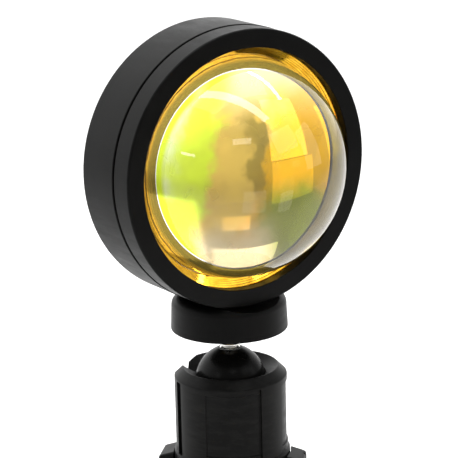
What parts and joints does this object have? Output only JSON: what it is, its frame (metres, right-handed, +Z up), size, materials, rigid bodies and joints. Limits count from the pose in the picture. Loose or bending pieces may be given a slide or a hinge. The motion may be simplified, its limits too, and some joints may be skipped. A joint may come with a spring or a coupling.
{
  "type": "domed-lens spot lamp on a ball-joint stand",
  "caption": "Round black spot lamp with a thick domed glass lens over a colour filter, held by a puck and stud on a clamping ball joint with a weighted foot.",
  "frame": {"origin": "centre of the underside of the round foot, on the stand's axis", "axes": "+Z up along the stand and stud, -Y the way the lamp faces, +X to the right seen from the front"},
  "size_m": [0.0854, 0.081, 0.1574],
  "materials": {
    "lamp_coat": "matte black powder coat on die-cast aluminium",
    "puck_coat": "satin black coat",
    "stand_plastic": "black glass-filled nylon, fine matte",
    "ball_finish": "black acetal, satin polish",
    "lens_glass": "clear polished glass",
    "frosted_glass": "frosted diffuser",
    "filter_glass": "dichroic coated glass, lime to amber",
    "gold_coat": "gold anodised, bright",
    "rubber": "matte black rubber",
    "bare_steel": "bright zinc plate",
    "stud_chrome": "bright nickel plate",
    "brass": "turned brass",
    "nylon": "natural acetal",
    "sheet_aluminium": "bright aluminium",
    "thermal_pad": "soft silicone pad",
    "phosphor": "yellow phosphor over the chips",
    "circuit_board": "green solder mask",
    "red_lead": "red insulation",
    "black_lead": "black insulation"
  },
  "bodies": {
    "base": {"foot_shell": "stand_plastic", "foot_pad": "rubber", "ballast_plate": "bare_steel", "threaded_bush": "brass", "foot_screw_1": "bare_steel", "foot_screw_2": "bare_steel", "foot_screw_3": "bare_steel", "socket_collar": "stand_plastic", "preload_spring": "bare_steel"},
    "lock_ring": {"lock_ring": "stand_plastic"},
    "pressure_cup": {"pressure_cup": "nylon", "cam_pin_1": "bare_steel", "cam_pin_2": "bare_steel", "cam_pin_3": "bare_steel"},
    "swivel_race": {"swivel_race": "stand_plastic"},
    "ball_stud": {"pivot_ball": "ball_finish", "ball_stud": "stud_chrome"},
    "lamp_head": {"front_bezel": "lamp_coat", "bezel_seal": "rubber", "rear_housing": "lamp_coat", "rear_cover": "lamp_coat", "cover_screw_1": "bare_steel", "cover_screw_2": "bare_steel", "cover_screw_3": "bare_steel", "cover_screw_4": "bare_steel", "main_lens": "lens_glass", "trim_ring": "gold_coat", "lens_gasket": "rubber", "reflector_dish": "gold_coat", "retaining_ring": "sheet_aluminium", "colour_filter": "filter_glass", "diffuser_disc": "frosted_glass", "light_funnel": "sheet_aluminium", "led_chip": "phosphor", "led_board": "sheet_aluminium", "thermal_pad": "thermal_pad", "led_screw_1": "bare_steel", "led_screw_2": "bare_steel", "driver_board": "circuit_board", "driver_screw_1": "bare_steel", "driver_screw_2": "bare_steel", "choke_coil": "brass", "capacitor": "sheet_aluminium", "lead_red": "red_lead", "lead_black": "black_lead", "power_inlet": "stand_plastic", "inlet_nut": "bare_steel", "mount_puck": "puck_coat", "puck_insert": "brass", "puck_screw_1": "bare_steel", "puck_screw_2": "bare_steel"}
  },
  "joints": [
    {"name": "lock_turn", "type": "hinge", "parent": "base", "child": "lock_ring", "pos_m": [0, 0, 0.0126], "axis": [0, 0, -1], "range_deg": [0, 90]},
    {"name": "cup_lift", "type": "slide", "parent": "base", "child": "pressure_cup", "axis": [0, 0, 1], "range_m": [0, 0.00038], "deforming": ["preload_spring"]},
    {"name": "ball_pan", "type": "hinge", "parent": "base", "child": "swivel_race", "pos_m": [0, 0, 0.0457], "axis": [0, 0, 1], "continuous": true},
    {"name": "ball_tilt", "type": "hinge", "parent": "swivel_race", "child": "ball_stud", "pos_m": [0, 0, 0.0457], "axis": [1, 0, 0], "range_deg": [-45, 45]},
    {"name": "lamp_turn", "type": "hinge", "parent": "ball_stud", "child": "lamp_head", "pos_m": [0, 0, 0.0652], "axis": [0, 0, 1], "continuous": true}
  ],
  "couplings": [
    {"joint": "cup_lift", "follows": "lock_turn", "m_per_rad": 0.00023873}
  ]
}
